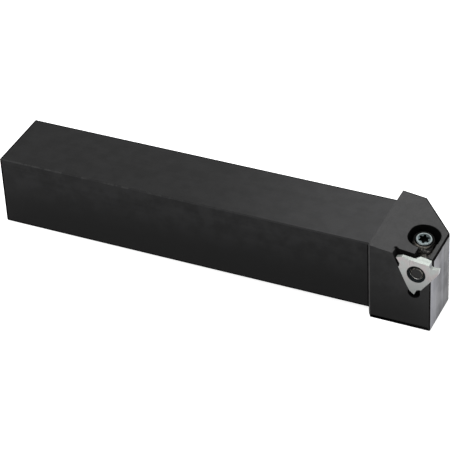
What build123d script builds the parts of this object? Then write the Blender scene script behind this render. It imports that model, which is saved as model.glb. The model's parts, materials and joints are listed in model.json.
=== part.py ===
from build123d import *
from math import cos, radians, sin, tan
import os

# External turning tool holder with a square shank, an on-edge three-cornered insert in a
# side pocket, and a pull clamp whose pin draws the insert into its seat. Millimetres.
#
# +X runs along the shank towards the cutting end and +Z is up. The origin is the middle of
# the shank's bottom face. The insert sits on the -Y side of the head.

# ---- shank and head ---------------------------------------------------------------------
SHANK_WIDTH = 25.0
SHANK_HEIGHT = 25.0
SHANK_LENGTH = 129.5
SHANK_EDGE = 0.4          # broken edges of the shank

HEAD_LENGTH = 20.5
HEAD_PROUD = 0.65         # head stands out from the shank on the insert side
HEAD_OVERHANG = 5.15      # head stands out from the shank on the far side
HEAD_DROP = 3.0           # head reaches below the shank's bottom
HEAD_EDGE = 0.32          # broken front edges
TOP_SLOPE = 7.0           # degrees; the head's top falls away towards the cutting end
CORNER_BACK = 12.5        # far front corner taken off: length along X ...
CORNER_IN = 13.3          # ... and along Y
ROOT_RADIUS = 1.3         # fillet where the shank's far side meets the head
HEEL_CHAMFER = 0.8        # lower rear edge of the head
END_CHAMFER = 0.5         # top edge of the end face

# ---- insert -----------------------------------------------------------------------------
INSERT_INSCRIBED = 9.525  # diameter of the circle inside the triangle
INSERT_THICKNESS = 3.18
INSERT_BORE = 4.4
INSERT_COUNTERSINK = 6.15
INSERT_TOP_GAP = 0.3      # insert's top side lies this far under the head's top
INSERT_TO_END = 4.65      # bore centre back from the end face
TOOTH_WIDTH = 1.5
TOOTH_TURN = 7.0          # degrees from the triangle's corner line to the feed direction
RELIEF_START = 4.5        # ground relief begins this far from the bore along the tooth
RELIEF_RUNOUT = 0.55
FACET_START = 5.05        # shallow facet on the front of each tooth begins here ...
FACET_TURN = 6.5          # ... and falls away by this many degrees

# ---- pocket -----------------------------------------------------------------------------
POCKET_DEPTH = 3.0
POCKET_REACH = 12.0       # the seat sides run on this far towards the end face ...
POCKET_RISE = 9.0         # ... and this far up through the top
SEAT_GAP = 0.03
CORNER_RELIEF_RADIUS = 2.05
CORNER_RELIEF_OFFSET = 7.3
CORNER_RELIEF_SHIFT = 0.2
SEAT_GROOVE_RADIUS = 0.5  # relief along the inner corner of each seat side ...
SEAT_GROOVE_START = 3.1   # ... from inside the corner relief outwards

# ---- clamp set, measured along the clamp's axis from the head's top ------------------------
CLAMP_LEAN = 9.0          # degrees; the axis leans towards the insert side as it rises
CLAMP_ALONG = 14.05       # axis from the head's rear edge, along its top
CLAMP_ACROSS = -0.9       # axis from the middle of the shank, along Y
CAVITY_WIDTH = 9.95
CAVITY_LENGTH = 11.7
CAVITY_SHIFT = 0.12       # cavity's middle from the clamp's axis, away from the insert
CAVITY_DEPTH = 7.3
PIN_SLOT_WIDTH = 4.6
GUIDE_BORE_DEPTH = 12.8
FIT_GAP = 0.05            # radial clearance of each sliding or turning fit

CLAMP_STEM_DIAMETER = 7.0
CLAMP_TOP_DEPTH = 1.15
CLAMP_RIM = 0.35          # chamfer round the stem's top
CLAMP_FOOT_DEPTH = 10.8
CLAMP_ARM_DEPTH = 1.8
CLAMP_ARM_FOOT = 5.0
CLAMP_ARM_REACH = 4.35
CLAMP_ARM_WIDTH = 2.95
CLAMP_ARM_SETBACK = 0.2   # arm's rear side behind the pin's rear side
CLAMP_NOSE_RADIUS = 0.9
CLAMP_SINK_DIAMETER = 6.3
PIN_DIAMETER = 3.8
PIN_RECESS = 0.75         # pin end below the insert's face
PIN_DRAW = 0.27           # pin centre below the bore centre when clamped
PIN_CHAMFER = 0.2

SCREW_DIAMETER = 4.0
SCREW_HEAD_DIAMETER = 5.3
SCREW_TOP_DEPTH = 0.95
SCREW_TIP_DEPTH = 18.2
SCREW_HOLE_DEPTH = 20.5
SCREW_HEAD_BAND = 0.5
SCREW_HEAD_CROWN = 0.25
SCREW_POINT = 0.6
SCREW_GROOVE_DIAMETER = 3.1
SOCKET_ACROSS = 3.7
SOCKET_DEPTH = 1.7
SOCKET_TURN = -22.0       # degrees about the screw's axis

RING_DIAMETER = 6.2
RING_THICKNESS = 0.6
RING_MOUTH = 2.4
RING_PLAY = 0.06

# ---- places worked out from the sizes above ------------------------------------------------
X_HEAD = SHANK_LENGTH / 2
X_END = X_HEAD + HEAD_LENGTH
Y_NEAR = -SHANK_WIDTH / 2 - HEAD_PROUD
Y_FAR = SHANK_WIDTH / 2 + HEAD_OVERHANG
Y_WALL = Y_NEAR + POCKET_DEPTH
SLOPE_X = cos(radians(TOP_SLOPE))
SLOPE_Z = -sin(radians(TOP_SLOPE))
INSERT_SIDE = INSERT_INSCRIBED / 2
BORE_X = X_END - INSERT_TO_END


def top_height(x):
    """Height of the head's sloping top at x."""
    return SHANK_HEIGHT - (x - X_HEAD) * tan(radians(TOP_SLOPE))


BORE_Z = top_height(BORE_X) - (INSERT_SIDE + INSERT_TOP_GAP) / SLOPE_X

# the head's top: local x down the slope, local y across, origin on its rear edge
HEAD_TOP = Plane(origin=(X_HEAD, 0, SHANK_HEIGHT), x_dir=(SLOPE_X, 0, SLOPE_Z), z_dir=(-SLOPE_Z, 0, SLOPE_X))
# the pocket wall seen from the insert side: local x down the slope, local y up
POCKET_WALL = Plane(origin=(BORE_X, Y_WALL, BORE_Z), x_dir=(SLOPE_X, 0, SLOPE_Z), z_dir=(0, -1, 0))
# the clamp's axis is local z, pointing out of the head, with its origin in the head's top
CLAMP_FRAME = Plane(HEAD_TOP.location * Location((CLAMP_ALONG, CLAMP_ACROSS, 0), (CLAMP_LEAN, 0, 0)))


def along_clamp(diameter, start, end):
    """Cylinder on the clamp's axis between two depths below the head's top."""
    level = CLAMP_FRAME.offset(-end)
    return extrude(level * Circle(diameter / 2), end - start)


def pin_centre():
    """Centre of the clamp pin in the pocket wall's plane, when the insert is clamped."""
    return CLAMP_FRAME.z_dir * -PIN_DRAW + Vector(BORE_X, Y_WALL, BORE_Z)


# ---- holder -------------------------------------------------------------------------------
def shank():
    """Square bar with broken long edges and tail edges."""
    bar = Pos((0, 0, SHANK_HEIGHT / 2)) * Box(SHANK_LENGTH, SHANK_WIDTH, SHANK_HEIGHT)
    long_edges = bar.edges().filter_by(Axis.X)
    tail_edges = bar.faces().sort_by(Axis.X)[0].edges()
    return chamfer(long_edges + tail_edges, SHANK_EDGE)


def head():
    """Milled head: sloping top, dropped bottom, far front corner taken off."""
    z_low = -HEAD_DROP
    z_end = top_height(X_END)
    side = Polyline(
        (X_HEAD, z_low + HEEL_CHAMFER),
        (X_HEAD + HEEL_CHAMFER, z_low),
        (X_END, z_low),
        (X_END, z_end - END_CHAMFER),
        (X_END - END_CHAMFER, top_height(X_END - END_CHAMFER)),
        (X_HEAD, SHANK_HEIGHT),
        close=True,
    )
    depth = Y_FAR - Y_NEAR
    block = extrude(Plane((0, Y_FAR, 0), x_dir=(1, 0, 0), z_dir=(0, -1, 0)) * make_face(side), depth)
    corner = Polyline(
        (X_END - CORNER_BACK, Y_FAR),
        (X_END, Y_FAR - CORNER_IN),
        (X_END + HEAD_LENGTH, Y_FAR - CORNER_IN),
        (X_END + HEAD_LENGTH, Y_FAR + CORNER_IN),
        (X_END - CORNER_BACK, Y_FAR + CORNER_IN),
        close=True,
    )
    block -= Pos((0, 0, -SHANK_HEIGHT)) * extrude(make_face(corner), 3 * SHANK_HEIGHT)
    upright = block.faces().sort_by(Axis.Y)[0].edges().filter_by(Axis.Z).sort_by(Axis.X)
    block = chamfer(upright[0], HEAD_PROUD)
    front = block.faces().sort_by(Axis.X)[-1].edges().filter_by(Axis.Z)
    return chamfer(front, HEAD_EDGE)


def pocket():
    """Vee seat with a drilled corner relief; it runs out through the top and the end face."""
    apex = 2 * (INSERT_SIDE + SEAT_GAP)
    rise = tan(radians(60))
    half_foot = (apex - CORNER_RELIEF_OFFSET) / rise
    vee = Polyline(
        (-half_foot, -CORNER_RELIEF_OFFSET),
        (half_foot, -CORNER_RELIEF_OFFSET),
        (POCKET_REACH, POCKET_REACH * rise - apex),
        (POCKET_REACH, POCKET_RISE),
        (-(POCKET_RISE + apex) / rise, POCKET_RISE),
        close=True,
    )
    relief = Pos((CORNER_RELIEF_SHIFT, -CORNER_RELIEF_OFFSET)) * Circle(CORNER_RELIEF_RADIUS)
    return extrude(POCKET_WALL * (make_face(vee) + relief), 3 * POCKET_DEPTH)


def seat_grooves():
    """Round groove along the inner corner of each seat side, up through the head's surface."""
    apex = POCKET_WALL.location * Location((0, -2 * (INSERT_SIDE + SEAT_GAP), 0))
    grooves = []
    for side in (-30, 30):
        foot = apex * Location((0, 0, 0), (0, 0, side)) * Location((0, SEAT_GROOVE_START, 0), (-90, 0, 0))
        grooves.append(extrude(Plane(foot) * Circle(SEAT_GROOVE_RADIUS), 2 * POCKET_REACH))
    return grooves


def clamp_cavity():
    """Oblong cavity, pin slot, guide bore and screw hole, all along the clamp's axis."""
    oblong = Pos((0, CAVITY_SHIFT)) * Rot(0, 0, 90) * SlotOverall(CAVITY_LENGTH, CAVITY_WIDTH)
    cavity = extrude(CLAMP_FRAME.offset(-CAVITY_DEPTH) * oblong, 2 * CAVITY_DEPTH)
    cavity += along_clamp(CLAMP_STEM_DIAMETER + 2 * FIT_GAP, CAVITY_DEPTH - 1, GUIDE_BORE_DEPTH)
    cavity += along_clamp(SCREW_DIAMETER + 2 * FIT_GAP, GUIDE_BORE_DEPTH - 1, SCREW_HOLE_DEPTH)
    # the pin drops in along the clamp's axis, so the slot's walls follow that axis
    low = pin_centre()
    rise = CLAMP_FRAME.z_dir * SHANK_HEIGHT
    slot_plane = Plane(origin=(low.X, CLAMP_FRAME.origin.Y, low.Z), x_dir=(1, 0, 0), z_dir=(0, -1, 0))
    track = SlotCenterPoint((rise.X / 2, rise.Z / 2), (rise.X, rise.Z), PIN_SLOT_WIDTH)
    return cavity + extrude(slot_plane * track, CLAMP_FRAME.origin.Y - Y_NEAR + 1)


def make_holder():
    """Shank and head in one piece, with the pocket and the clamp's cavity cut into the head."""
    body = shank() + head()
    close = 0.01
    far_side = SHANK_WIDTH / 2
    upright = body.edges().filter_by(Axis.Z).filter_by_position(Axis.X, X_HEAD - close, X_HEAD + close)
    root = upright.filter_by_position(Axis.Y, far_side - close, far_side + close)
    body = fillet(root, ROOT_RADIUS) - pocket()
    for groove in seat_grooves():
        body -= groove
    return body - clamp_cavity()


# ---- insert -------------------------------------------------------------------------------
def tooth_profile():
    """One third of the insert's outline: flank, cutting tip, rake and chip former."""
    rake_end = (3.6, INSERT_SIDE)
    rake_low = (4.8, 3.85)
    tip = (6.9, 4.28)
    heel = (6.8, 2.3)
    former = SagittaArc(rake_end, rake_low, -0.14)
    return [former, Line(rake_low, tip), Line(tip, heel)], rake_end, heel


def insert_outline():
    """The tooth repeated at the three corners and joined by the straight seat sides."""
    pieces, start, end = tooth_profile()
    edges = []
    for turn in (0, -120, -240):
        edges += [Rot(0, 0, turn) * piece for piece in pieces]
        side_start = Vector(*end).rotate(Axis.Z, turn)
        side_end = Vector(*start).rotate(Axis.Z, turn - 120)
        edges.append(Line(side_start, side_end))
    return make_face(edges)


def make_insert():
    """Ground three-cornered insert; each corner is thinned from the back to a narrow tooth."""
    blank = extrude(POCKET_WALL * insert_outline(), INSERT_THICKNESS)
    bore = POCKET_WALL * Circle(INSERT_BORE / 2)
    blank -= extrude(bore, INSERT_THICKNESS)
    sink = (INSERT_COUNTERSINK - INSERT_BORE) / 2
    face = POCKET_WALL.offset(INSERT_THICKNESS - sink)
    blank -= face * Pos((0, 0, sink / 2)) * Cone(INSERT_BORE / 2, INSERT_COUNTERSINK / 2, sink)
    thin = INSERT_THICKNESS - TOOTH_WIDTH
    relief = Polyline(
        (RELIEF_START - RELIEF_RUNOUT, 0),
        (RELIEF_START, thin),
        (2 * INSERT_INSCRIBED, thin),
        (2 * INSERT_INSCRIBED, -1),
        (RELIEF_START - RELIEF_RUNOUT, -1),
        close=True,
    )
    facet_length = INSERT_INSCRIBED - FACET_START
    facet = Polyline(
        (FACET_START, INSERT_THICKNESS),
        (INSERT_INSCRIBED, INSERT_THICKNESS),
        (INSERT_INSCRIBED, INSERT_THICKNESS - facet_length * tan(radians(FACET_TURN))),
        close=True,
    )
    for turn in (0, 120, 240):
        across = POCKET_WALL.location * Location((0, 0, 0), (0, 0, TOOTH_TURN + turn))
        cut_plane = Plane(across * Location((0, INSERT_INSCRIBED, 0), (90, 0, 0)))
        blank -= extrude(cut_plane * make_face(relief), 2 * INSERT_INSCRIBED)
        blank -= extrude(cut_plane * make_face(facet), 2 * INSERT_INSCRIBED)
    return blank


# ---- clamp set ------------------------------------------------------------------------------
def make_clamp():
    """Pull clamp: a guided stem round the screw with a pin that reaches into the insert."""
    stem = along_clamp(CLAMP_STEM_DIAMETER, CLAMP_TOP_DEPTH, CLAMP_FOOT_DEPTH)
    stem = chamfer(stem.faces().sort_by(Axis.Z)[-1].edges(), CLAMP_RIM)
    low = pin_centre()
    radius = PIN_DIAMETER / 2
    # the arm rises from the pin, a little behind the pin's rear side, and ends in a rounded nose
    rear = CLAMP_FRAME.to_local_coords(low).X - radius - CLAMP_ARM_SETBACK
    arm_sketch = Pos((rear, -CLAMP_ARM_REACH)) * Rectangle(CLAMP_ARM_WIDTH, CLAMP_ARM_REACH, align=Align.MIN)
    arm = extrude(CLAMP_FRAME.offset(-CLAMP_ARM_FOOT) * arm_sketch, CLAMP_ARM_FOOT - CLAMP_ARM_DEPTH)
    arm = fillet(arm.faces().sort_by(Axis.Y)[0].edges(), CLAMP_NOSE_RADIUS)
    y_end = Y_WALL - INSERT_THICKNESS + PIN_RECESS
    y_root = CLAMP_FRAME.origin.Y
    pin_plane = Plane(origin=(low.X, y_root, low.Z), x_dir=(1, 0, 0), z_dir=(0, -1, 0))
    pin = extrude(pin_plane * Circle(radius), y_root - y_end)
    pin = chamfer(pin.faces().sort_by(Axis.Y)[0].edges(), PIN_CHAMFER)
    body = stem + arm + pin
    body -= along_clamp(SCREW_DIAMETER + 2 * FIT_GAP, 0, CLAMP_FOOT_DEPTH + 1)
    sink = (CLAMP_SINK_DIAMETER - SCREW_DIAMETER) / 2
    sink_frame = CLAMP_FRAME.offset(-CLAMP_TOP_DEPTH - sink)
    cone = Pos((0, 0, sink / 2)) * Cone(SCREW_DIAMETER / 2, CLAMP_SINK_DIAMETER / 2, sink)
    return body - sink_frame * cone


def six_lobe_socket():
    """Six round lobes with hollow flanks between them."""
    lobe = SOCKET_ACROSS * 0.11
    pitch = SOCKET_ACROSS / 2 - lobe
    star = Circle(pitch * 0.98)
    star += PolarLocations(pitch, 6) * Circle(lobe)
    star -= PolarLocations(SOCKET_ACROSS * 0.53, 6, start_angle=30) * Circle(SOCKET_ACROSS * 0.18)
    return Rot(0, 0, SOCKET_TURN) * star


def make_clamp_screw():
    """Countersunk six-lobe screw with a neck groove for the retaining ring."""
    radius = SCREW_DIAMETER / 2
    head_radius = SCREW_HEAD_DIAMETER / 2
    cone_foot = SCREW_TOP_DEPTH + SCREW_HEAD_BAND + head_radius - radius
    ring_top = CLAMP_FOOT_DEPTH + RING_PLAY
    ring_foot = ring_top + RING_THICKNESS
    groove = SCREW_GROOVE_DIAMETER / 2
    outline = Polyline(
        (0, -SCREW_TOP_DEPTH),
        (head_radius - SCREW_HEAD_CROWN, -SCREW_TOP_DEPTH),
        (head_radius, -SCREW_TOP_DEPTH - SCREW_HEAD_CROWN),
        (head_radius, -SCREW_TOP_DEPTH - SCREW_HEAD_BAND),
        (radius, -cone_foot),
        (radius, -ring_top),
        (groove, -ring_top),
        (groove, -ring_foot),
        (radius, -ring_foot),
        (radius, -SCREW_TIP_DEPTH + SCREW_POINT),
        (radius - SCREW_POINT, -SCREW_TIP_DEPTH),
        (0, -SCREW_TIP_DEPTH),
        close=True,
    )
    turned = revolve(Plane.XZ * make_face(outline), Axis.Z)
    socket = Pos((0, 0, -SCREW_TOP_DEPTH - SOCKET_DEPTH)) * extrude(six_lobe_socket(), SOCKET_DEPTH + 1)
    return CLAMP_FRAME.location * (turned - socket)


def make_retaining_ring():
    """Open flat ring in the screw's groove, just under the clamp's foot."""
    top = CLAMP_FOOT_DEPTH + RING_PLAY
    level = CLAMP_FRAME.offset(-top - RING_THICKNESS)
    flat = Circle(RING_DIAMETER / 2) - Circle(SCREW_GROOVE_DIAMETER / 2)
    flat -= Pos((0, RING_DIAMETER / 2)) * Rectangle(RING_MOUTH, RING_DIAMETER)
    return extrude(level * flat, RING_THICKNESS)


PIECES = {
    "holder": make_holder,
    "insert": make_insert,
    "clamp": make_clamp,
    "clamp_screw": make_clamp_screw,
    "retaining_ring": make_retaining_ring,
}

os.makedirs("parts", exist_ok=True)
for name, make in PIECES.items():
    piece = make()
    solids = piece.solids()
    export_step(solids[0] if len(solids) == 1 else piece, f"parts/{name}.step")
    print(name, len(solids), "solid", round(piece.volume, 2), "mm3", piece.bounding_box())
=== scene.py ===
"""Turning tool holder: looks and fine shape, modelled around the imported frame. Metres."""
import json
import math

import bmesh
import bpy
from mathutils import Euler, Matrix, Vector


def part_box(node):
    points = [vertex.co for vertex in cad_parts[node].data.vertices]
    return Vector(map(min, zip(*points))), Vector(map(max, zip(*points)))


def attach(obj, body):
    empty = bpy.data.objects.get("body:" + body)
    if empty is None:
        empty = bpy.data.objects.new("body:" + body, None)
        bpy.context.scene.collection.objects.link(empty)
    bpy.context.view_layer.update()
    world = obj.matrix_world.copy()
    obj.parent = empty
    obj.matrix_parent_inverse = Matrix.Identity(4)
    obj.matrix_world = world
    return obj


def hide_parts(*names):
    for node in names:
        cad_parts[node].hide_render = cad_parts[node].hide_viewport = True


bl_info = {
    "name": "Turning Tool Holder",
    "version": (1, 0, 0),
    "blender": (4, 5, 0),
    "location": "View3D > Sidebar > Tool Holder",
    "description": "Builds a square-shank turning holder with its insert and pull clamp",
    "category": "Add Mesh",
}

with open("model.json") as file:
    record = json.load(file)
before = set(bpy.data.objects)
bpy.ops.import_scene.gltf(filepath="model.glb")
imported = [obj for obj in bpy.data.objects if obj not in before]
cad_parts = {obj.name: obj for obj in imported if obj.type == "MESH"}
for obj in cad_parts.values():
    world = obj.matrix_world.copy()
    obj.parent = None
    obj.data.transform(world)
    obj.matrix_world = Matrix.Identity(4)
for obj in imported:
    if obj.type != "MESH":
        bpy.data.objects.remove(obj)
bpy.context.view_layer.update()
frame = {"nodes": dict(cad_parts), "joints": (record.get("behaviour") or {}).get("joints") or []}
MM = 0.001

# places that the frame gives
HOLDER_LOW, HOLDER_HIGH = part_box("holder")
JOINTS = {joint["name"]: joint for joint in frame["joints"]}
CLAMP_AXIS = Vector(JOINTS["clamp_screw_turn"]["axis"]).normalized()
CLAMP_POINT = Vector(JOINTS["clamp_screw_turn"]["pos_m"])

# the head's own sizes
HEAD_X = 64.75 * MM            # where the shank meets the head
ON_HEAD_X = HEAD_X + 0.1 * MM  # faces centred past this belong to the head
HEAD_TOP_Z = 25.0 * MM         # height of the head's top at HEAD_X
HEAD_SLOPE = math.radians(7.0)
HEAD_NORMAL = Vector((math.sin(HEAD_SLOPE), 0.0, math.cos(HEAD_SLOPE)))

# the far front corner taken off the head
CORNER_BACK = 12.5 * MM
CORNER_IN = 13.3 * MM
CORNER_START = Vector((HOLDER_HIGH.x - CORNER_BACK, HOLDER_HIGH.y, 0.0))
CORNER_LINE = Vector((CORNER_BACK, -CORNER_IN, 0.0)).normalized()

# how the holder's faces are told apart
LARGE_FACE = 100e-6            # square metres; smaller faces get no border
FOOT_LINE_LIFT = 0.7 * MM      # extra width of the painted shadow line at the head's foot
HEEL_Y = -12 * MM              # the heel's painted highlight lies nearer than this
UPPER_Z = 20 * MM              # the shank's near upper edge lies above this
RECESS_FAR_Y = 8 * MM          # the pocket and the cavity end before this
RECESS_FLOOR_Z = 2 * MM        # and lie above this
SLIVER = 0.05 * MM             # allowance when a face is placed against a plane

# where painted shade darkens the black oxide towards the floor
SHADE_SHANK_Z = 22 * MM
SHADE_HEAD_Z = 16 * MM
SHADE_FADE = 16 * MM

# the insert in its seat
INSERT_INSCRIBED = 9.525 * MM
INSERT_TOP_GAP = 0.3 * MM      # its top side below the head's top
INSERT_TO_END = 4.65 * MM      # its bore's middle behind the end face
INSERT_NEAR_Y = -11.5 * MM     # its near side lies nearer than this
BORE_EDGE_LOW = 2.1 * MM       # radii on both sides of the edge between bore and countersink
BORE_EDGE_HIGH = 2.3 * MM
BORE_EDGE_ROUND = 0.09 * MM    # radius left on that edge
BORE_EDGE_FACES = 2.29 * MM    # faces of the rounded edge are centred within this
COUNTERSINK_RADIUS = 3.2 * MM
TOOTH_RADIUS = 5.8 * MM        # the teeth's flanks lie further out

# the clamp's turned top, measured from its axis, and the end of its pin
CLAMP_TOP_RADIUS = 3.6 * MM
CLAMP_TOP_DEPTH = 2.5 * MM
CLAMP_RIM_RADIUS = 3.2 * MM
PIN_END_Y = -11 * MM

# heights on the clamp screw's axis, from the head's top
SCREW_TOP = -0.95 * MM
RING_TOP = -10.86 * MM
THREAD_TOP = -11.46 * MM
THREAD_FOOT = -17.6 * MM

# other sizes of the clamp screw
FACE_RADIUS = 1.95 * MM
FACE_DEPTH = 0.05 * MM         # its flat face below the top of its rim
SOCKET_DEPTH = 1.7 * MM
SOCKET_TURN = math.radians(-22.0)
RING_GROOVE = 0.45 * MM
TIP_LENGTH = 0.65 * MM
SCREW_STEPS = 96
THREAD_STEPS = 48

# finishes of each piece, in the order of its materials
(OXIDE, WORN_LIT_EDGE, MILLED_END, SHADED_RECESS,
 MILLED_OXIDE, SHADED_EDGE, OXIDE_TOP, HEEL_HIGHLIGHT) = range(8)
GROUND, BORE, COUNTERSINK, TOOTH_FLANK, BORE_GLINT, GROUND_TOP = range(6)
CLAMP_STEEL, CLAMP_TOP, CLAMP_RIM, PIN_END = range(4)
ZINC, SHADED_SOCKET, ZINC_RIM_HIGHLIGHT, ZINC_SIDE_SHADE = range(4)


# ---- sizes and colours ---------------------------------------------------------------------
def colour(name, description, default):
    """A colour property with no alpha."""
    return bpy.props.FloatVectorProperty(
        name=name, description=description, subtype="COLOR", size=3,
        min=0.0, max=1.0, default=default)


def length(name, description, default):
    """A length property in metres."""
    return bpy.props.FloatProperty(
        name=name, description=description, default=default, min=0.0,
        unit="LENGTH", subtype="DISTANCE", precision=5)


def factor(name, description, default):
    """A share from 0 to 1."""
    return bpy.props.FloatProperty(
        name=name, description=description, default=default, min=0.0, max=1.0, subtype="FACTOR")


class ToolHolderBody(bpy.types.PropertyGroup):
    edge_round: length("Edge round", "Radius left on the machined edges", 0.10 * MM)
    oxide: colour("Oxide", "Black oxide of the shank and head", (0.005, 0.005, 0.0052))
    oxide_light: colour("Thin oxide", "Where the oxide is thinner", (0.0135, 0.0135, 0.014))
    # painted sheen: tone added on the shank's top towards the head
    head_sheen: colour(
        "Oxide near the head", "Tone added by the thinner oxide on the shank's top", (0.016, 0.016, 0.0165))
    # painted shade: edge_shade and edge_band give the colour and width of a near-black line along the edges
    edge_shade: colour("Shaded edge", "Oily black line along the edges", (0.0012, 0.0012, 0.0012))
    # painted highlight: the upright edge behind the head is coloured lighter
    heel_highlight: colour("Rubbed heel", "Rubbed upright edge behind the head", (0.032, 0.032, 0.032))
    edge_band: length("Edge band", "Width of the oily black line along the edges", 0.42 * MM)
    # painted shade: the pocket and the cavity are coloured near black
    recess_shade: colour("Recess", "Oiled oxide inside the pocket and cavity", (0.0015, 0.0015, 0.0015))
    milled: colour("Milled end", "Bare milled steel of the end face", (0.075, 0.076, 0.085))
    # the edge colour is partly rubbed-through steel and partly a painted highlight
    edge: colour("Worn edge", "Steel that shows through on rubbed edges", (0.03, 0.03, 0.03))
    oxide_roughness: factor("Oxide roughness", "Roughness of the black oxide", 0.36)


class ToolHolderInsert(bpy.types.PropertyGroup):
    hone: length("Edge hone", "Radius left on the ground edges", 0.03 * MM)
    carbide: colour("Carbide", "Ground carbide", (0.375, 0.395, 0.385))
    tint: colour("Tint", "Faint second tone of the ground faces", (0.4, 0.35, 0.35))
    ground_top: colour("Ground top", "Finer ground upper side", (0.32, 0.35, 0.325))
    flank: colour("Flank", "Fine-ground flank of a tooth", (0.25, 0.26, 0.27))
    # painted shade: the bore's wall and its countersink are coloured near black
    bore: colour("Bore", "Dark wall of the insert's bore", (0.004, 0.004, 0.0045))
    countersink: colour("Countersink", "Shaded countersink of the insert's bore", (0.004, 0.0055, 0.006))
    # painted glint: a bright line on the rounded edge between the countersink and the bore
    bore_glint: colour("Bore edge", "Bright line where the countersink meets the bore", (0.5, 0.5, 0.48))


class ToolHolderClamp(bpy.types.PropertyGroup):
    edge_round: length("Edge round", "Radius left on the clamp's edges", 0.08 * MM)
    cast: colour("Clamp steel", "Brown-black heat-treated steel", (0.02, 0.0185, 0.0175))
    cast_light: colour("Rubbed clamp steel", "Lighter grain of the clamp", (0.25, 0.235, 0.21))
    pin: colour("Pin end", "Dark ground end of the clamp's pin", (0.003, 0.003, 0.0027))
    # a near-black top, darker than the clamp's steel
    top: colour("Clamp top", "Oiled black top of the clamp", (0.004, 0.004, 0.004))
    # painted highlight: this colour shows on the rim's insert side only
    rim: colour("Clamp rim", "Turned chamfer round the clamp's top", (0.23, 0.208, 0.177))
    zinc: colour("Zinc", "Zinc plating of the screw", (0.05, 0.063, 0.066))
    # painted highlight on the screw head's rounded rim, and painted shade on its side
    zinc_rim_highlight: colour("Rubbed zinc", "Rubbed plating on the rounded rim of the screw", (0.115, 0.131, 0.133))
    zinc_side_shade: colour("Shaded zinc", "Plating on the side of the screw's head", (0.02, 0.03, 0.031))
    screw_radius: length("Screw radius", "Radius over the thread", 2.0 * MM)
    screw_head: length("Head radius", "Radius of the screw's head", 2.65 * MM)
    socket_out: length("Socket lobes", "Radius to the tips of the socket's six lobes", 1.85 * MM)
    socket_in: length("Socket hollows", "Radius between the socket's lobes", 1.22 * MM)
    # painted shade: the inside of the key socket is coloured near black
    socket: colour("Socket", "Dark inside of the key socket", (0.002, 0.002, 0.002))
    ring: colour("Ring", "Retaining ring", (0.08, 0.08, 0.085))
    pitch: length("Thread pitch", "Pitch of the screw's thread", 0.7 * MM)
    thread_depth: length("Thread depth", "Depth of the screw's thread", 0.43 * MM)


class ToolHolderStage(bpy.types.PropertyGroup):
    floor: colour("Floor", "Pale floor", (0.9, 0.9, 0.9))
    lens: bpy.props.FloatProperty(
        name="Lens", description="Focal length on a 36 mm sensor", default=176.42, min=1.0, unit="CAMERA")
    camera_at: bpy.props.FloatVectorProperty(
        name="Camera", description="Where the camera stands", default=(0.26442, -0.51687, 0.42986),
        size=3, subtype="TRANSLATION", unit="LENGTH")
    camera_turn: bpy.props.FloatVectorProperty(
        name="Camera turn", description="How the camera is turned", default=(0.939278, 0.043805, 0.425290),
        size=3, subtype="EULER", unit="ROTATION")
    key: bpy.props.FloatProperty(
        name="Key light", description="Power of the soft light behind", default=10.5, min=0.0)
    fill: bpy.props.FloatProperty(
        name="Fill light", description="Power of the soft front light", default=16.0, min=0.0)
    ambient: factor("Ambient", "Level of the even light from all round", 0.5)
    floor_glow: factor("Floor glow", "Evens out the floor's shadow to the eye", 0.8)
    floor_shine: factor("Floor shine", "How much of that shows in reflections", 0.5)


# ---- shader helpers --------------------------------------------------------------------------
def new_group(name, inputs, outputs):
    """An empty shader group with named float, vector or colour sockets."""
    kinds = {"F": "NodeSocketFloat", "V": "NodeSocketVector", "C": "NodeSocketColor"}
    group = bpy.data.node_groups.new(name, "ShaderNodeTree")
    for socket, kind, default in inputs:
        made = group.interface.new_socket(name=socket, in_out="INPUT", socket_type=kinds[kind])
        made.default_value = default
    for socket, kind in outputs:
        group.interface.new_socket(name=socket, in_out="OUTPUT", socket_type=kinds[kind])
    return group, group.nodes.new("NodeGroupInput"), group.nodes.new("NodeGroupOutput")


def node(tree, kind, values=None, **settings):
    """A node with its settings, and its input values by name or number."""
    made = tree.nodes.new(kind)
    for key, value in settings.items():
        setattr(made, key, value)
    for key, value in (values or {}).items():
        made.inputs[key].default_value = value
    return made


def link(tree, source, target):
    tree.links.new(source, target)


def combine(tree, operation, first, second):
    """One value from two sockets."""
    made = node(tree, "ShaderNodeMath", operation=operation)
    link(tree, first, made.inputs[0])
    link(tree, second, made.inputs[1])
    return made.outputs[0]


def multiply_add(tree, source, times, added):
    """The source times a plain value, plus another socket."""
    made = node(tree, "ShaderNodeMath", {1: times}, operation="MULTIPLY_ADD")
    link(tree, source, made.inputs[0])
    link(tree, added, made.inputs[2])
    return made.outputs[0]


def seen_rays(tree):
    """The Light Path node, and 1 for rays that come from the camera, directly or through glass."""
    rays = tree.nodes.new("ShaderNodeLightPath")
    seen = combine(tree, "MAXIMUM", rays.outputs["Is Camera Ray"], rays.outputs["Is Transmission Ray"])
    return rays, seen


def scaled(value, share):
    """A plain colour made lighter or darker."""
    return [min(1.0, channel * share) for channel in value]


def ramp(tree, source, low, high, out_low=0.0, out_high=1.0):
    """Maps source from low..high to out_low..out_high, smoothly and clamped."""
    made = node(tree, "ShaderNodeMapRange", interpolation_type="SMOOTHSTEP")
    link(tree, source, made.inputs["Value"])
    for key, value in (("From Min", low), ("From Max", high), ("To Min", out_low), ("To Max", out_high)):
        made.inputs[key].default_value = value
    return made.outputs["Result"]


def blend_colour(tree, share, first, second):
    """Colour from first to second by share; each is a socket or a plain colour."""
    made = node(tree, "ShaderNodeMix", data_type="RGBA")
    link(tree, share, made.inputs["Factor"])
    for socket, value in ((made.inputs[6], first), (made.inputs[7], second)):
        if isinstance(value, bpy.types.NodeSocket):
            link(tree, value, socket)
        else:
            socket.default_value = (*value, 1.0)
    return made.outputs[2]


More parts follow.
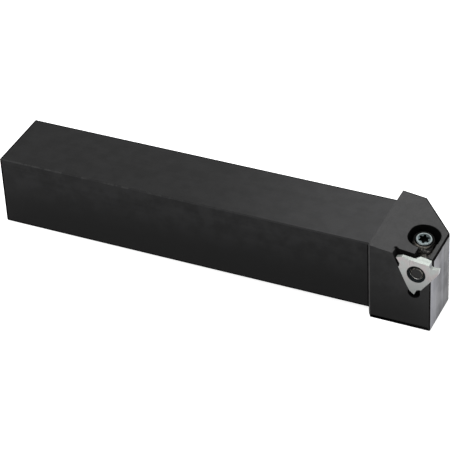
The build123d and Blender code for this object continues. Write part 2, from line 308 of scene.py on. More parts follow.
def mottle_group():
    """Slow uneven tone plus fine grain, both from 0 to 1."""
    group, given, out = new_group(
        "Metal mottle",
        [("Vector", "V", (0, 0, 0)), ("Cloud Scale", "F", 60.0), ("Grain Scale", "F", 3000.0)],
        [("Cloud", "F"), ("Grain", "F")])
    cloud = node(group, "ShaderNodeTexNoise", {"Detail": 3.0, "Roughness": 0.55})
    grain = node(group, "ShaderNodeTexNoise", {"Detail": 2.0, "Roughness": 0.6})
    link(group, given.outputs["Vector"], cloud.inputs["Vector"])
    link(group, given.outputs["Vector"], grain.inputs["Vector"])
    link(group, given.outputs["Cloud Scale"], cloud.inputs["Scale"])
    link(group, given.outputs["Grain Scale"], grain.inputs["Scale"])
    link(group, ramp(group, cloud.outputs["Fac"], 0.32, 0.68), out.inputs["Cloud"])
    link(group, ramp(group, grain.outputs["Fac"], 0.3, 0.7), out.inputs["Grain"])
    return group


def streak_group():
    """Fine parallel machining lines from 0 to 1; Stretch sets how long they run on each axis."""
    group, given, out = new_group(
        "Machining lines",
        [("Vector", "V", (0, 0, 0)), ("Stretch", "V", (1, 1, 1)), ("Scale", "F", 3000.0)],
        [("Lines", "F"), ("Broad Lines", "F")])
    stretched = node(group, "ShaderNodeVectorMath", operation="MULTIPLY")
    link(group, given.outputs["Vector"], stretched.inputs[0])
    link(group, given.outputs["Stretch"], stretched.inputs[1])
    quarter = node(group, "ShaderNodeMath", {1: 0.22}, operation="MULTIPLY")
    link(group, given.outputs["Scale"], quarter.inputs[0])
    for scale, name in ((given.outputs["Scale"], "Lines"), (quarter.outputs[0], "Broad Lines")):
        noise = node(group, "ShaderNodeTexNoise", {"Detail": 2.0, "Roughness": 0.6})
        link(group, stretched.outputs[0], noise.inputs["Vector"])
        link(group, scale, noise.inputs["Scale"])
        link(group, ramp(group, noise.outputs["Fac"], 0.32, 0.68), out.inputs[name])
    return group


class Finish:
    """A material under construction: its tree, shader and Object coordinates."""

    def __init__(self, name, roughness, metallic=0.0, specular=0.5):
        self.material = bpy.data.materials.new(name)
        self.material.use_nodes = True
        self.tree = self.material.node_tree
        self.shader = self.tree.nodes["Principled BSDF"]
        self.shader.inputs["Roughness"].default_value = roughness
        self.shader.inputs["Metallic"].default_value = metallic
        self.shader.inputs["Specular IOR Level"].default_value = specular
        self.place = self.tree.nodes.new("ShaderNodeTexCoord").outputs["Object"]

    def group(self, tree, **values):
        """One of the shared groups, fed with Object coordinates."""
        made = node(self.tree, "ShaderNodeGroup", node_tree=tree)
        link(self.tree, self.place, made.inputs["Vector"])
        for key, value in values.items():
            made.inputs[key.replace("_", " ")].default_value = value
        return made

    def axes(self):
        """The three Object coordinates, by name."""
        made = self.tree.nodes.new("ShaderNodeSeparateXYZ")
        link(self.tree, self.place, made.inputs[0])
        return made.outputs

    def colour(self, value):
        """The base colour, from a socket or a plain colour."""
        socket = self.shader.inputs["Base Color"]
        if isinstance(value, bpy.types.NodeSocket):
            link(self.tree, value, socket)
        else:
            socket.default_value = (*value, 1.0)
        self.material.diffuse_color = (*socket.default_value[:3], 1.0)

    def roughness(self, share, low, high):
        """Roughness from low to high by share."""
        link(self.tree, ramp(self.tree, share, 0.0, 1.0, low, high), self.shader.inputs["Roughness"])

    def bump(self, *layers):
        """Layers of (height socket, depth in metres, strength), one on top of the other."""
        normal = None
        for height, depth, strength in layers:
            made = node(self.tree, "ShaderNodeBump", {"Distance": depth, "Strength": strength})
            link(self.tree, height, made.inputs["Height"])
            if normal:
                link(self.tree, normal, made.inputs["Normal"])
            normal = made.outputs["Normal"]
        link(self.tree, normal, self.shader.inputs["Normal"])


def oxide_finish(name, groups, dark, light, roughness, stretch, specular, shade_below, painted_sheen=None):
    """Black oxide over steel, darkened by painted shade below a height; with a sheen colour, a painted sheen
    lightens it towards the head and painted shade darkens it towards the tail.
    """
    made = Finish(name, roughness, specular=specular)
    mottle = made.group(groups["mottle"], Cloud_Scale=210.0, Grain_Scale=2600.0)
    lines = made.group(groups["streak"], Stretch=stretch, Scale=2400.0)
    spread = ramp(made.tree, lines.outputs["Broad Lines"], 0.0, 1.0, 0.0, 0.2)
    tone = multiply_add(made.tree, mottle.outputs["Cloud"], 0.75, spread)
    axes = made.axes()
    # painted shade: darker towards the floor
    painted_shade = ramp(made.tree, axes["Z"], shade_below, shade_below - SHADE_FADE)
    above_shade = blend_colour(made.tree, tone, dark, light)
    # painted sheen towards the head and painted shade on the tail half
    if painted_sheen:
        towards_head = ramp(made.tree, axes["X"], 0.0, HEAD_X + 6 * MM)
        painted_tail_shade = node(made.tree, "ShaderNodeMix", {0: 0.55}, data_type="RGBA", blend_type="MULTIPLY")
        link(made.tree, above_shade, painted_tail_shade.inputs[6])
        painted_tail_shade.inputs[7].default_value = (0.3, 0.3, 0.3, 1.0)
        thinner = node(made.tree, "ShaderNodeMix", {0: 1.0}, data_type="RGBA", blend_type="ADD")
        link(made.tree, above_shade, thinner.inputs[6])
        thinner.inputs[7].default_value = (*painted_sheen, 1.0)
        above_shade = blend_colour(made.tree, towards_head, painted_tail_shade.outputs[2], thinner.outputs[2])
    made.colour(blend_colour(made.tree, painted_shade, above_shade, scaled(dark, 0.3)))
    made.roughness(mottle.outputs["Grain"], roughness - 0.05, roughness + 0.07)
    made.bump((lines.outputs["Lines"], 0.004 * MM, 0.5), (mottle.outputs["Grain"], 0.004 * MM, 0.5))
    return made.material


def worn_lit_edge_finish(groups, dark, light):
    """Broken edges: oxide rubbed through in places and a painted highlight, more so towards the tail."""
    made = Finish("worn_lit_edge", 0.45, specular=0.1)
    mottle = made.group(groups["mottle"], Cloud_Scale=420.0, Grain_Scale=2600.0)
    patches = ramp(made.tree, mottle.outputs["Cloud"], 0.25, 0.85)
    tail_wear_and_sheen = ramp(made.tree, made.axes()["X"], 40 * MM, -40 * MM)
    worn_and_lit = combine(made.tree, "MULTIPLY", patches, tail_wear_and_sheen)
    made.colour(blend_colour(made.tree, worn_and_lit, dark, light))
    made.bump((mottle.outputs["Grain"], 0.01 * MM, 0.5))
    return made.material


def milled_finish(groups, value):
    """Bare milled steel with lines that run up and down; painted reflection on the near side, painted shade
    towards the far side and a painted dark line at its edge.
    """
    made = Finish("milled_end", 0.38, metallic=1.0)
    lines = made.group(groups["streak"], Stretch=(1.0, 1.0, 0.03), Scale=1500.0)
    mottle = made.group(groups["mottle"], Cloud_Scale=120.0, Grain_Scale=2600.0)
    across = made.axes()["Y"]
    # painted reflection on the near side, painted shade towards the far side and at its edge
    near = ramp(made.tree, across, -6 * MM, -12.5 * MM, 0.06, 0.95)
    far = ramp(made.tree, across, -2 * MM, 3.5 * MM, 0.0, -0.24)
    far_edge_shade = ramp(made.tree, across, 3.1 * MM, 3.8 * MM, 0.0, -1.0)
    tone = multiply_add(made.tree, lines.outputs["Broad Lines"], 0.5, near)
    for share in (far, far_edge_shade):
        tone = combine(made.tree, "ADD", tone, share)
    made.colour(blend_colour(made.tree, tone, scaled(value, 0.55), scaled(value, 2.5)))
    made.roughness(mottle.outputs["Cloud"], 0.33, 0.44)
    made.bump((lines.outputs["Lines"], 0.01 * MM, 0.6))
    return made.material


def carbide_finish(name, groups, value, tint, roughness, metallic, fade):
    """Ground carbide with a faint uneven tint; fade paints shade along one axis and is (axis, from, to, share
    of the tone left).
    """
    made = Finish(name, roughness, metallic=metallic)
    mottle = made.group(groups["mottle"], Cloud_Scale=330.0, Grain_Scale=3500.0)
    lines = made.group(groups["streak"], Stretch=(0.5, 1.0, 0.12), Scale=3800.0)
    axis, start, end, left = fade
    painted_axis_shade = ramp(made.tree, made.axes()[axis], start, end)
    ground = blend_colour(made.tree, mottle.outputs["Cloud"], value, tint)
    grain = ramp(made.tree, mottle.outputs["Grain"], 0.0, 1.0, 0.0, 0.12)
    ground = blend_colour(made.tree, grain, ground, scaled(value, 0.4))
    made.colour(blend_colour(made.tree, painted_axis_shade, ground, scaled(value, left)))
    made.roughness(lines.outputs["Broad Lines"], roughness - 0.04, roughness + 0.06)
    made.bump((lines.outputs["Lines"], 0.0015 * MM, 0.4))
    return made.material


def clamp_finish(name, groups, dark, light):
    """Heat-treated clamp steel with a coarse grain."""
    made = Finish(name, 0.5, specular=0.25)
    mottle = made.group(groups["mottle"], Cloud_Scale=1400.0, Grain_Scale=4200.0)
    rubbed = ramp(made.tree, mottle.outputs["Cloud"], 0.35, 1.0)
    made.colour(blend_colour(made.tree, rubbed, dark, light))
    made.roughness(mottle.outputs["Grain"], 0.42, 0.62)
    made.bump((mottle.outputs["Cloud"], 0.05 * MM, 0.7), (mottle.outputs["Grain"], 0.02 * MM, 0.6))
    return made.material


def clamp_rim_highlight_finish(groups, dark, light):
    """Turned chamfer of the clamp, with a painted highlight in patches on the insert side and dark elsewhere.
    """
    made = Finish("clamp_rim_highlight", 0.35, metallic=0.6)
    mottle = made.group(groups["mottle"], Cloud_Scale=900.0, Grain_Scale=4200.0)
    # painted highlight on the near side of the rim
    side = ramp(made.tree, made.axes()["Y"], -1.8 * MM, -4.2 * MM)
    patchy = ramp(made.tree, mottle.outputs["Cloud"], 0.1, 0.8, 0.25, 1.0)
    rubbed = combine(made.tree, "MULTIPLY", side, patchy)
    made.colour(blend_colour(made.tree, rubbed, dark, light))
    made.bump((mottle.outputs["Grain"], 0.01 * MM, 0.5))
    return made.material


def plated_finish(name, groups, value, metallic=1.0, roughness=0.3):
    """Plated steel with a faint grain."""
    made = Finish(name, roughness, metallic=metallic)
    mottle = made.group(groups["mottle"], Cloud_Scale=700.0, Grain_Scale=6000.0)
    made.colour(blend_colour(made.tree, mottle.outputs["Cloud"], value, scaled(value, 1.25)))
    made.roughness(mottle.outputs["Grain"], roughness - 0.04, roughness + 0.08)
    made.bump((mottle.outputs["Grain"], 0.004 * MM, 0.4))
    return made.material


def plain_dark_finish(name, groups, value, specular=0.15):
    """Dark surface with an even tone and little shine."""
    made = Finish(name, 0.55, specular=specular)
    mottle = made.group(groups["mottle"], Cloud_Scale=500.0, Grain_Scale=3000.0)
    made.colour(blend_colour(made.tree, mottle.outputs["Cloud"], value, scaled(value, 1.6)))
    made.bump((mottle.outputs["Grain"], 0.01 * MM, 0.5))
    return made.material


# ---- mesh helpers ----------------------------------------------------------------------------
def welded_copy(cad_node, flatness=0.6):
    """A bmesh copy of a CAD node with its corners merged and its flat faces joined up."""
    bm = bmesh.new()
    bm.from_mesh(frame["nodes"][cad_node].data)
    bmesh.ops.remove_doubles(bm, verts=bm.verts, dist=1e-6)
    bmesh.ops.dissolve_limit(
        bm, angle_limit=math.radians(flatness), verts=bm.verts, edges=bm.edges, delimit={"NORMAL"})
    return bm


def mark_creases(bm, sharp, rounded, large=40e-6):
    """Weights the edges to round: every sharp one, and any crease between two large faces."""
    weight = bm.edges.layers.float.new("bevel_weight_edge")
    bm.normal_update()
    for edge in bm.edges:
        if len(edge.link_faces) != 2:
            continue
        turn = edge.calc_face_angle(0.0)
        between_large = min(face.calc_area() for face in edge.link_faces) > large
        if turn > math.radians(sharp) or (between_large and turn > math.radians(3.0)):
            edge[weight] = 1.0
        if turn > math.radians(30.0) and not rounded:
            edge.smooth = False


def finish_object(bm, name, body, materials, replaced, edge_round=0.0, edge_slot=-1, sharp=22.0):
    """Makes the piece from its bmesh, rounds its edges and ties it to the frame."""
    mark_creases(bm, sharp, edge_round > 0)
    for face in bm.faces:
        face.smooth = True
    mesh = bpy.data.meshes.new(name)
    bm.to_mesh(mesh)
    bm.free()
    for material in materials:
        mesh.materials.append(material)
    piece = bpy.data.objects.new(name, mesh)
    bpy.context.scene.collection.objects.link(piece)
    if edge_round:
        rounding = piece.modifiers.new("Edge round", "BEVEL")
        rounding.width = edge_round
        rounding.segments = 2
        rounding.limit_method = "WEIGHT"
        rounding.harden_normals = True
        rounding.material = edge_slot
        even = piece.modifiers.new("Flat faces", "WEIGHTED_NORMAL")
        even.mode = "FACE_AREA"
        even.weight = 100
        even.keep_sharp = True
    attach(piece, body)
    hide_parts(replaced)
    return piece


def clamp_matrix():
    """From the clamp's own frame, with +Z out along its axis, to the row frame."""
    across = Vector((0, 1, 0)) - CLAMP_AXIS * CLAMP_AXIS.y
    across.normalize()
    along = across.cross(CLAMP_AXIS)
    turn = Matrix((along, across, CLAMP_AXIS)).transposed().to_4x4()
    return Matrix.Translation(CLAMP_POINT) @ turn


class ToolHolderOperator(bpy.types.Operator):
    """Shared by the pieces' operators"""
    bl_options = {"REGISTER", "UNDO"}

    def groups(self):
        """The shared shader groups, made once."""
        made = {}
        kinds = (("mottle", "Metal mottle", mottle_group), ("streak", "Machining lines", streak_group))
        for key, name, make in kinds:
            made[key] = bpy.data.node_groups.get(name) or make()
        return made


class TOOLHOLDER_OT_holder(ToolHolderOperator):
    """Shank and head with rounded edges, black oxide and a bare milled end"""
    bl_idname = "toolholder.holder"
    bl_label = "Holder"

    def execute(self, context):
        props = context.scene.tool_holder_body
        groups = self.groups()
        bm = welded_copy("holder")
        for face in bm.faces:
            face.material_index = self.part_of(face)
        self.shade_borders(bm, props.edge_band)
        top = max((face for face in bm.faces if face.material_index == OXIDE), key=self.lift)
        top.material_index = OXIDE_TOP
        tones = (props.oxide, props.oxide_light, props.oxide_roughness)
        lengthwise, crosswise = (0.02, 1, 1), (1, 0.02, 1)
        materials = [
            oxide_finish("black_oxide", groups, *tones, lengthwise, 0.1, SHADE_SHANK_Z),
            worn_lit_edge_finish(groups, props.oxide_light, props.edge),
            milled_finish(groups, props.milled),
            plain_dark_finish("painted_recess_shade", groups, props.recess_shade),
            oxide_finish("milled_oxide", groups, *tones, crosswise, 0.16, SHADE_HEAD_Z),
            plain_dark_finish("shaded_edge", groups, props.edge_shade, 0.02),
            # the shank's top takes the painted sheen
            oxide_finish("black_oxide_top_sheen", groups, *tones, lengthwise, 0.1, SHADE_SHANK_Z, props.head_sheen),
            plain_dark_finish("painted_heel_highlight", groups, props.heel_highlight, 0.2),
        ]
        # the rounded edges take the painted shade line too
        finish_object(
            bm, "holder_body", "holder", materials, "holder", props.edge_round, SHADED_EDGE)
        return {"FINISHED"}

    def lift(self, face):
        """How much a face looks upwards, times its area."""
        return face.normal.z * face.calc_area()

    def shade_borders(self, bm, width):
        """A narrow border round each large oxide face, for the painted shade line along its edges."""
        large = [face for face in bm.faces
                 if face.material_index in (OXIDE, MILLED_OXIDE) and face.calc_area() > LARGE_FACE]
        border = bmesh.ops.inset_individual(bm, faces=large, thickness=width, use_even_offset=True)["faces"]
        for face in border:
            face.material_index = self.border_finish(face, 2 * width)
        self.widen_foot_line(bm, width)

    def widen_foot_line(self, bm, width):
        """Lifts the inner side of the near face's lower border, for a wider painted shadow line at the foot.
        """
        inner = set()
        for face in bm.faces:
            centre = face.calc_center_median()
            at_foot = centre.z < HOLDER_LOW.z + width and centre.x > HEAD_X
            if at_foot and face.material_index == SHADED_EDGE and face.normal.y < -0.9:
                inner.update(vert for vert in face.verts if vert.co.z > HOLDER_LOW.z + 0.8 * width)
        for vert in inner:
            vert.co.z += FOOT_LINE_LIFT

    def border_finish(self, face, reach):
        """The finish of one border: the painted shade line, or oxide beside the pocket, the cavity, the end
        face and the shank's near upper edge."""
        centre, normal = face.calc_center_median(), face.normal
        on_head = centre.x > ON_HEAD_X
        if normal.z > 0.9 and not on_head:
            return SHADED_EDGE if centre.y > 0 or centre.x < HOLDER_LOW.x + reach else OXIDE_TOP
        if normal.z > 0.9:
            off_corner = abs((centre - CORNER_START).xy.cross(CORNER_LINE.xy))
            at_far_edge = centre.y > HOLDER_HIGH.y - reach
            return SHADED_EDGE if at_far_edge or off_corner < reach else MILLED_OXIDE
        if normal.y < -0.9 and on_head:
            return SHADED_EDGE if centre.z < HOLDER_LOW.z + reach + 0.4 * MM else MILLED_OXIDE
        if normal.y < -0.9 and centre.z > UPPER_Z and centre.x > HOLDER_LOW.x + reach:
            return OXIDE
        return SHADED_EDGE

    def part_of(self, face):
        """Which finish a face takes, by where it lies and looks."""
        centre, normal = face.calc_center_median(), face.normal
        end = HOLDER_HIGH.x
        if normal.x > 0.99 and centre.x > end - SLIVER:
            return MILLED_END
        on_head = centre.x > ON_HEAD_X
        # painted highlight on the upright chamfer behind the head
        if normal.x < -0.6 and normal.y < -0.6 and on_head and centre.y < HEEL_Y:
            return HEEL_HIGHLIGHT
        off_axis = 1 - max(abs(normal.x), abs(normal.y), abs(normal.z))
        # shank chamfers: the near upper one is worn with a painted highlight, the others take the painted
        # shade line
        if off_axis > 0.2 and centre.x < HEAD_X:
            return WORN_LIT_EDGE if normal.z > 0.2 and normal.y < 0.2 else SHADED_EDGE
        # painted shade: small faces at the end face and the foot take the near-black edge line
        if off_axis > 0.03 and (centre.x > end - 0.6 * MM or centre.z < HOLDER_LOW.z + 0.3 * MM):
            return SHADED_EDGE
        under_top = HEAD_NORMAL.dot(Vector((HEAD_X, 0, HEAD_TOP_Z)) - centre)
        inside_y = HOLDER_LOW.y + SLIVER < centre.y < RECESS_FAR_Y
        inside = centre.x > HEAD_X + MM and under_top > SLIVER and centre.z > RECESS_FLOOR_Z
        # painted shade inside the pocket and the cavity
        if inside and inside_y:
            return SHADED_RECESS
        return MILLED_OXIDE if on_head else OXIDE


class TOOLHOLDER_OT_insert(ToolHolderOperator):
    """Ground three-cornered insert with honed edges"""
    bl_idname = "toolholder.insert"
    bl_label = "Insert"

    def execute(self, context):
        props = context.scene.tool_holder_insert
        groups = self.groups()
        bm = welded_copy("insert")
        self.break_bore_edge(bm)
        for face in bm.faces:
            face.material_index = self.part_of(face)
        # painted shade: the insert's faces darker towards the bottom
        darker_low = ("Z", 22 * MM, 10 * MM)
        materials = [
            carbide_finish("ground_carbide", groups, props.carbide, props.tint, 0.3, 0.3, (*darker_low, 0.6)),
            plain_dark_finish("insert_bore", groups, props.bore, 0.3),
            plain_dark_finish("insert_countersink", groups, props.countersink, 0.05),
            carbide_finish("ground_flank", groups, props.flank, props.flank, 0.16, 0.9, (*darker_low, 0.9)),
            # painted glint on the rounded bore edge
            plated_finish("bore_glint", groups, props.bore_glint, 0.8, 0.25),
            # painted shade: the upper side darker away from the end face
            carbide_finish(
                "ground_top", groups, props.ground_top, scaled(props.ground_top, 0.92), 0.3, 0.3,
                ("X", 81.5 * MM, 76.5 * MM, 0.62)),
        ]
        finish_object(
            bm, "cutting_insert", "holder", materials, "insert", props.hone, sharp=12.0)
        return {"FINISHED"}

    def break_bore_edge(self, bm):
        """Rounds the edge between the countersink and the bore."""
        middle = self.bore_centre()
        ring = []
        for edge in bm.edges:
            ends = [(vert.co - middle).xz.length for vert in edge.verts]
            on_ring = min(ends) > BORE_EDGE_LOW and max(ends) < BORE_EDGE_HIGH
            if on_ring and abs(edge.calc_face_angle(0.0)) > 0.5 and edge.verts[0].co.y < INSERT_NEAR_Y:
                ring.append(edge)
        bmesh.ops.bevel(bm, geom=ring, offset=BORE_EDGE_ROUND, offset_type="OFFSET", affect="EDGES",
                        segments=2, profile=0.5, material=-1)

    def part_of(self, face):
        """Which finish a face takes, by how far it lies from the bore's axis and which way it looks."""
        away = face.calc_center_median() - self.bore_centre()
        away.y = 0
        inward = face.normal.x * away.x + face.normal.z * away.z < -1e-6
        # the bore's wall and countersink take painted shade, their edge a painted glint
        if inward and away.length < COUNTERSINK_RADIUS:
            if abs(face.normal.y) < 0.1:
                return BORE
            return BORE_GLINT if away.length < BORE_EDGE_FACES else COUNTERSINK
        if face.normal.dot(HEAD_NORMAL) > 0.8:
            return GROUND_TOP
        outward = abs(face.normal.y) < 0.1 and face.normal.dot(away.normalized()) > 0.6
        return TOOTH_FLANK if outward and away.length > TOOTH_RADIUS else GROUND

    def bore_centre(self):
        """A point on the bore's axis, behind the end face and under the head's top."""
        under_top = (INSERT_INSCRIBED / 2 + INSERT_TOP_GAP) / math.cos(HEAD_SLOPE)
        x = HOLDER_HIGH.x - INSERT_TO_END
        return Vector((x, 0, HEAD_TOP_Z - (x - HEAD_X) * math.tan(HEAD_SLOPE) - under_top))


class TOOLHOLDER_OT_clamp(ToolHolderOperator):
    """Pull clamp with its arm and side pin"""
    bl_idname = "toolholder.clamp"
    bl_label = "Clamp"

    def execute(self, context):
        props = context.scene.tool_holder_clamp
        groups = self.groups()
        bm = welded_copy("clamp")
        to_local = clamp_matrix().inverted()
        for face in bm.faces:
            local = to_local @ face.calc_center_median()
            rise = (to_local.to_3x3() @ face.normal).z
            near_top = local.xy.length < CLAMP_TOP_RADIUS and local.z > -CLAMP_TOP_DEPTH
            if near_top:
                on_rim = rise < 0.99 and local.xy.length > CLAMP_RIM_RADIUS
                upper = CLAMP_RIM if on_rim else CLAMP_TOP
                face.material_index = CLAMP_STEEL if rise < 0.3 else upper
            if face.normal.y < -0.9 and face.calc_center_median().y < PIN_END_Y:
                face.material_index = PIN_END
        materials = [
            clamp_finish("clamp_steel", groups, props.cast, props.cast_light),
            plain_dark_finish("clamp_top", groups, props.top, 0.1),
            clamp_rim_highlight_finish(groups, props.top, props.rim),
            clamp_finish("pin_end", groups, props.pin, scaled(props.pin, 2.5)),
        ]
        finish_object(bm, "pull_clamp", "clamp", materials, "clamp", props.edge_round)
        return {"FINISHED"}


class TOOLHOLDER_OT_screw(ToolHolderOperator):
    """Clamp screw and its retaining ring"""
    bl_idname = "toolholder.screw"
    bl_label = "Clamp Screw"

    def execute(self, context):
        props = context.scene.tool_holder_clamp
        groups = self.groups()
        bm = bmesh.new()
        self.head_and_neck(bm, props)
        self.socket(bm, props)
        self.thread(bm, props)
        bmesh.ops.recalc_face_normals(bm, faces=bm.faces)
        bmesh.ops.transform(bm, matrix=clamp_matrix(), verts=bm.verts)
        materials = [
            plated_finish("zinc_plate", groups, props.zinc),
            plain_dark_finish("shaded_key_socket", groups, props.socket, 0.05),
            plated_finish("zinc_rim_highlight", groups, props.zinc_rim_highlight),
            plated_finish("zinc_side_shade", groups, props.zinc_side_shade),
        ]
        finish_object(bm, "clamp_screw_plated", "clamp_screw", materials, "clamp_screw")
        ring = welded_copy("retaining_ring")
        finish_object(ring, "retaining_ring_sprung", "clamp_screw",
                      [plated_finish("ring_steel", groups, props.ring)], "retaining_ring", 0.05 * MM)
        return {"FINISHED"}

    def head_and_neck(self, bm, props):
        """Rounded countersunk head, plain neck and the ring's groove, turned about the axis."""
        head, neck = props.screw_head, props.screw_radius
        outline = (
            (FACE_RADIUS, SCREW_TOP - FACE_DEPTH, ZINC),
            # the rounded rim takes the painted highlight and the head's side the painted shade
            (FACE_RADIUS + 0.08 * MM, SCREW_TOP - 0.02 * MM, ZINC_RIM_HIGHLIGHT),
            (head - 0.35 * MM, SCREW_TOP, ZINC_RIM_HIGHLIGHT),
            (head - 0.16 * MM, SCREW_TOP - 0.04 * MM, ZINC_RIM_HIGHLIGHT),
            (head - 0.04 * MM, SCREW_TOP - 0.15 * MM, ZINC_SIDE_SHADE),
            (head, SCREW_TOP - 0.28 * MM, ZINC_SIDE_SHADE),
            (head, SCREW_TOP - 0.5 * MM, ZINC_SIDE_SHADE),
            (neck, SCREW_TOP - 0.5 * MM - (head - neck), ZINC),
            (neck, RING_TOP, ZINC),
            (neck - RING_GROOVE, RING_TOP, ZINC),
            (neck - RING_GROOVE, THREAD_TOP - 0.2 * MM, ZINC),
            (0.0, THREAD_TOP - 0.2 * MM, ZINC),
        )
        self.turn(bm, outline)

    def turn(self, bm, outline):
        """Turns an outline of (radius, height, finish) about the screw's axis."""
        verts = [bm.verts.new((radius, 0, height)) for radius, height, finish in outline]
        edges = [bm.edges.new(pair) for pair in zip(verts, verts[1:])]
        bmesh.ops.spin(bm, geom=verts + edges, cent=(0, 0, 0), axis=(0, 0, 1), angle=math.tau,
                       steps=SCREW_STEPS, use_merge=True)
        bmesh.ops.remove_doubles(bm, verts=bm.verts, dist=1e-7)
        bm.normal_update()
        for face in bm.faces:
            centre = face.calc_center_median()
            for (radius, height, finish), (next_radius, next_height, unused) in zip(outline, outline[1:]):
                level = (height + next_height) / 2
                middle = (radius + next_radius) / 2
                if abs(centre.z - level) < 0.003 * MM and abs(centre.xy.length - middle) < 0.03 * MM:
                    face.material_index = finish

    def socket(self, bm, props):
        """Six-lobe key socket sunk into the head's flat face."""
        middle = (props.socket_out + props.socket_in) / 2
        swing = (props.socket_out - props.socket_in) / 2
        rise = SCREW_TOP - FACE_DEPTH
        steps = (
            (0.03 * MM, rise, ZINC),
            (0.0, rise - 0.04 * MM, ZINC),
            (0.0, rise - 0.42 * MM, ZINC),
            # the socket's deeper part takes the painted shade
            (0.0, rise - SOCKET_DEPTH, SHADED_SOCKET),
        )
        for wider, height, finish in steps:
            mouth = [edge for edge in bm.edges if edge.is_boundary]
            grown = bmesh.ops.extrude_edge_only(bm, edges=mouth)["geom"]
            for piece in grown:
                if isinstance(piece, bmesh.types.BMVert):
                    around = math.atan2(piece.co.y, piece.co.x) - SOCKET_TURN
                    out = piece.co.xy.normalized() * (middle + swing * math.cos(6 * around) + wider)
                    piece.co = (out.x, out.y, height)
                elif isinstance(piece, bmesh.types.BMFace):
                    piece.material_index = finish
        mouth = [edge for edge in bm.edges if edge.is_boundary]
        for face in bmesh.ops.edgeloop_fill(bm, edges=mouth)["faces"]:
            face.material_index = SHADED_SOCKET

    def thread(self, bm, props):
        """Helical thread with a plain pointed tip."""
        work = bmesh.new()
        pitch, crest, root = props.pitch, props.screw_radius, props.screw_radius - props.thread_depth
        outline = ((root, 0.0), (root, 0.12), (crest, 0.44), (crest, 0.56), (root, 0.88), (root, 1.0))
        low = THREAD_FOOT - 2 * pitch
        verts = [work.verts.new((radius, 0, low + share * pitch)) for radius, share in outline]
        edges = [work.edges.new(pair) for pair in zip(verts, verts[1:])]
        turns = math.ceil((THREAD_TOP - THREAD_FOOT) / pitch) + 3
        bmesh.ops.spin(work, geom=verts + edges, cent=(0, 0, 0), axis=(0, 0, 1), angle=math.tau * turns,
                       steps=THREAD_STEPS * turns, dvec=(0, 0, pitch / THREAD_STEPS))
        bmesh.ops.remove_doubles(work, verts=work.verts, dist=1e-6)
        for height, facing in ((THREAD_TOP, 1), (THREAD_FOOT, -1)):
            everything = work.verts[:] + work.edges[:] + work.faces[:]
            bmesh.ops.bisect_plane(
                work, geom=everything, plane_co=(0, 0, height), plane_no=(0, 0, facing), clear_outer=True)
            rim = [edge for edge in work.edges
                   if edge.is_boundary and all(abs(vert.co.z - height) < 1e-6 for vert in edge.verts)]
            bmesh.ops.edgeloop_fill(work, edges=rim)
        bmesh.ops.create_cone(
            work, cap_ends=True, segments=THREAD_STEPS, radius1=root - 0.5 * MM, radius2=root,
            depth=TIP_LENGTH, matrix=Matrix.Translation((0, 0, THREAD_FOOT - 0.275 * MM)))
        made = bpy.data.meshes.new("thread")
        work.to_mesh(made)
        work.free()
        bm.from_mesh(made)
        bpy.data.meshes.remove(made)


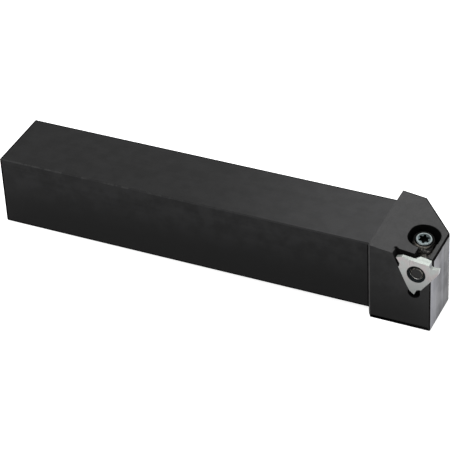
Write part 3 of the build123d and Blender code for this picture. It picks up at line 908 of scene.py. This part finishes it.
class TOOLHOLDER_OT_stage(ToolHolderOperator):
    """Pale floor, soft studio lights and the camera"""
    bl_idname = "toolholder.stage"
    bl_label = "Stage"

    def execute(self, context):
        props = context.scene.tool_holder_stage
        self.floor(props)
        self.world(context, props)
        self.light("Back softbox", bearing=-2.0, height=45.0, wide=1.15, high=0.85, power=props.key)
        self.light("Front softbox", bearing=200.0, height=50.0, wide=1.4, high=1.4, power=props.fill)
        self.camera(context, props)
        context.scene.view_settings.view_transform = "Standard"
        return {"FINISHED"}

    def floor(self, props):
        """A wide plane along the line from the tail's lower edge to the head's."""
        bm = bmesh.new()
        bmesh.ops.create_grid(bm, x_segments=1, y_segments=1, size=6.0)
        foot = Vector((HEAD_X + 0.8 * MM, 0, HOLDER_LOW.z - 0.02 * MM))
        rise = -HOLDER_LOW.z / (foot.x - HOLDER_LOW.x)
        bmesh.ops.rotate(bm, verts=bm.verts, matrix=Matrix.Rotation(math.atan(rise), 3, "Y"))
        bmesh.ops.translate(bm, verts=bm.verts, vec=foot)
        mesh = bpy.data.meshes.new("studio_floor")
        bm.to_mesh(mesh)
        bm.free()
        made = bpy.data.objects.new("studio_floor", mesh)
        bpy.context.scene.collection.objects.link(made)
        material = bpy.data.materials.new("pale_floor")
        material.use_nodes = True
        tree = material.node_tree
        shader = tree.nodes["Principled BSDF"]
        shader.inputs["Base Color"].default_value = (*props.floor, 1.0)
        shader.inputs["Roughness"].default_value = 0.9
        rays, seen = seen_rays(tree)
        to_eye = node(tree, "ShaderNodeMath", {1: props.floor_glow}, operation="MULTIPLY")
        link(tree, seen, to_eye.inputs[0])
        glow = multiply_add(tree, rays.outputs["Is Glossy Ray"], props.floor_shine, to_eye.outputs[0])
        shader.inputs["Emission Color"].default_value = (1, 1, 1, 1)
        link(tree, glow, shader.inputs["Emission Strength"])
        mesh.materials.append(material)

    def world(self, context, props):
        """White to the eye and to reflections, and an even pale light otherwise."""
        world = bpy.data.worlds.new("studio")
        context.scene.world = world
        world.use_nodes = True
        tree = world.node_tree
        background = tree.nodes["Background"]
        background.inputs["Color"].default_value = (1, 1, 1, 1)
        rays, seen = seen_rays(tree)
        white = combine(tree, "MAXIMUM", seen, rays.outputs["Is Glossy Ray"])
        link(tree, ramp(tree, white, 0.0, 1.0, props.ambient, 1.0), background.inputs["Strength"])

    def light(self, name, bearing, height, wide, high, power, distance=1.8):
        """A soft light that faces the head; bearing from +Y towards +X and height, in degrees."""
        turn, lift = math.radians(bearing), math.radians(height)
        aim = -Vector((math.sin(turn) * math.cos(lift), math.cos(turn) * math.cos(lift), math.sin(lift)))
        data = bpy.data.lights.new(name, "AREA")
        data.shape = "RECTANGLE"
        data.size = wide
        data.size_y = high
        data.energy = power
        lamp = bpy.data.objects.new(name, data)
        lamp.location = Vector((HEAD_X, 0, 0)) - aim * distance
        lamp.rotation_euler = aim.to_track_quat("-Z", "Y").to_euler()
        lamp.visible_camera = False
        bpy.context.scene.collection.objects.link(lamp)

    def camera(self, context, props):
        """The camera of the main picture."""
        data = bpy.data.cameras.new("camera")
        data.lens = props.lens
        data.sensor_width = 36.0
        made = bpy.data.objects.new("camera", data)
        made.location = props.camera_at
        made.rotation_euler = Euler(props.camera_turn, "XYZ")
        bpy.context.scene.collection.objects.link(made)
        context.scene.camera = made


class TOOLHOLDER_PT_panel(bpy.types.Panel):
    """Lists the pieces of the tool holder"""
    bl_idname = "TOOLHOLDER_PT_panel"
    bl_label = "Tool Holder"
    bl_space_type = "VIEW_3D"
    bl_region_type = "UI"
    bl_category = "Tool Holder"

    def draw(self, context):
        for kind in OPERATORS:
            self.layout.operator(kind.bl_idname)
        for name in PROPERTY_GROUPS:
            box = self.layout.box()
            group = getattr(context.scene, name)
            for key in group.__annotations__:
                box.prop(group, key)


OPERATORS = (
    TOOLHOLDER_OT_holder,
    TOOLHOLDER_OT_insert,
    TOOLHOLDER_OT_clamp,
    TOOLHOLDER_OT_screw,
    TOOLHOLDER_OT_stage,
)
PROPERTY_GROUPS = {
    "tool_holder_body": ToolHolderBody,
    "tool_holder_insert": ToolHolderInsert,
    "tool_holder_clamp": ToolHolderClamp,
    "tool_holder_stage": ToolHolderStage,
}


def register():
    for name, kind in PROPERTY_GROUPS.items():
        bpy.utils.register_class(kind)
        setattr(bpy.types.Scene, name, bpy.props.PointerProperty(type=kind))
    for kind in (*OPERATORS, TOOLHOLDER_PT_panel):
        bpy.utils.register_class(kind)


def unregister():
    for kind in (TOOLHOLDER_PT_panel, *reversed(OPERATORS)):
        bpy.utils.unregister_class(kind)
    for name, kind in PROPERTY_GROUPS.items():
        delattr(bpy.types.Scene, name)
        bpy.utils.unregister_class(kind)


def main():
    register()
    bpy.ops.toolholder.holder()
    bpy.ops.toolholder.insert()
    bpy.ops.toolholder.clamp()
    bpy.ops.toolholder.screw()
    bpy.ops.toolholder.stage()


if __name__ == "__main__":
    main()
